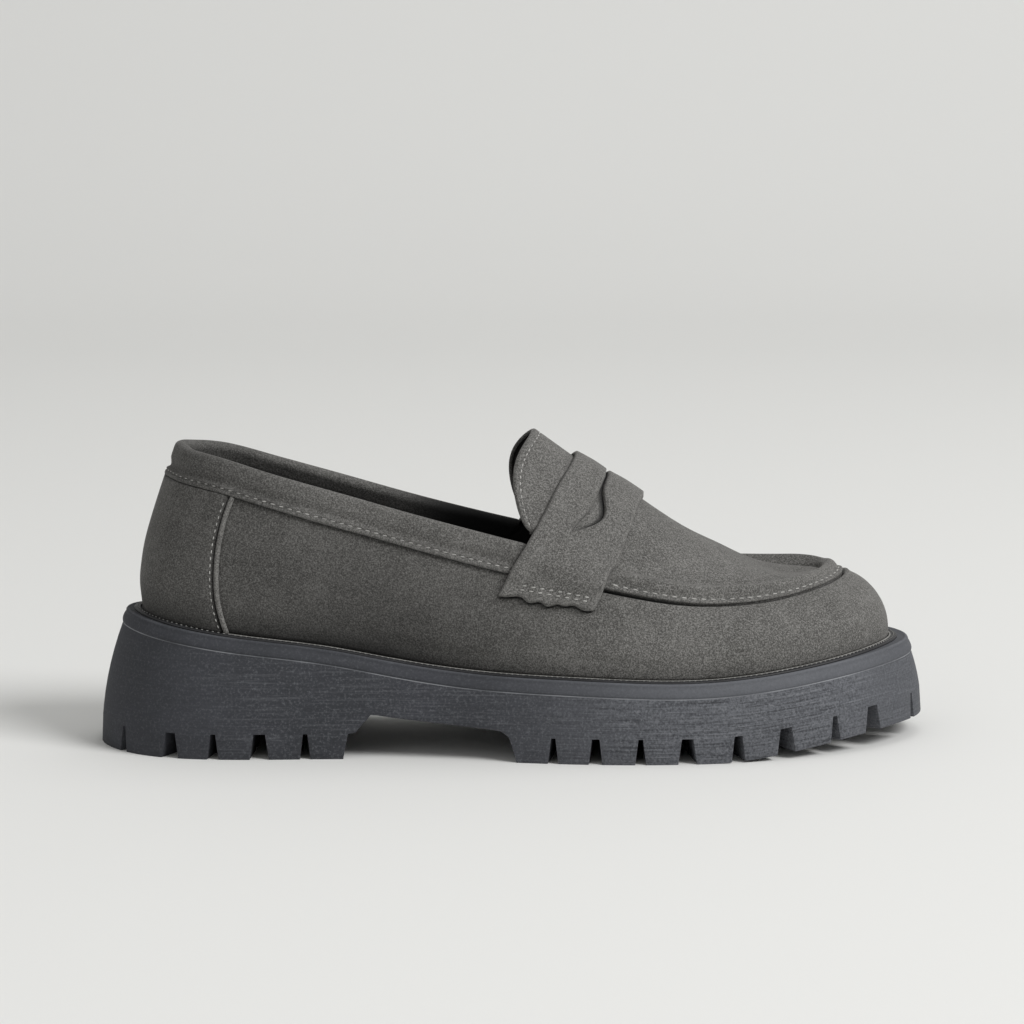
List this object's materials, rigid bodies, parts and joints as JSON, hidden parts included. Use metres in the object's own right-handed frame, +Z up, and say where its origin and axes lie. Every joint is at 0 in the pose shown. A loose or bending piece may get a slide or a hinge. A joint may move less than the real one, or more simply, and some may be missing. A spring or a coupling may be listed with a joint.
{
  "type": "chunky lug sole loafer",
  "caption": "Right penny loafer in grey nubuck with a raised apron, cut saddle strap, padded collar and a thick lugged rubber sole.",
  "frame": {"origin": "middle of the shoe's bounding box, on the floor it stands on", "axes": "+X from the heel to the toe, +Y to the inner side of the right foot, +Z up"},
  "size_m": [0.2798, 0.1067, 0.1058],
  "materials": {
    "nubuck": "warm dark grey nubuck with a fine nap and light scuffs",
    "sole_rubber": "matt blue black rubber, grained on its sidewall",
    "welt_rubber": "dark rubber strip with a stitched look",
    "lining": "black lining",
    "thread": "pale grey sewing thread"
  },
  "bodies": {
    "root": {"outsole": "sole_rubber", "welt": "welt_rubber", "insole": "lining", "upper": "nubuck", "apron": "nubuck", "saddle_strap": "nubuck", "tongue": "nubuck", "collar_band": "nubuck", "heel_counter": "nubuck"}
  },
  "joints": []
}
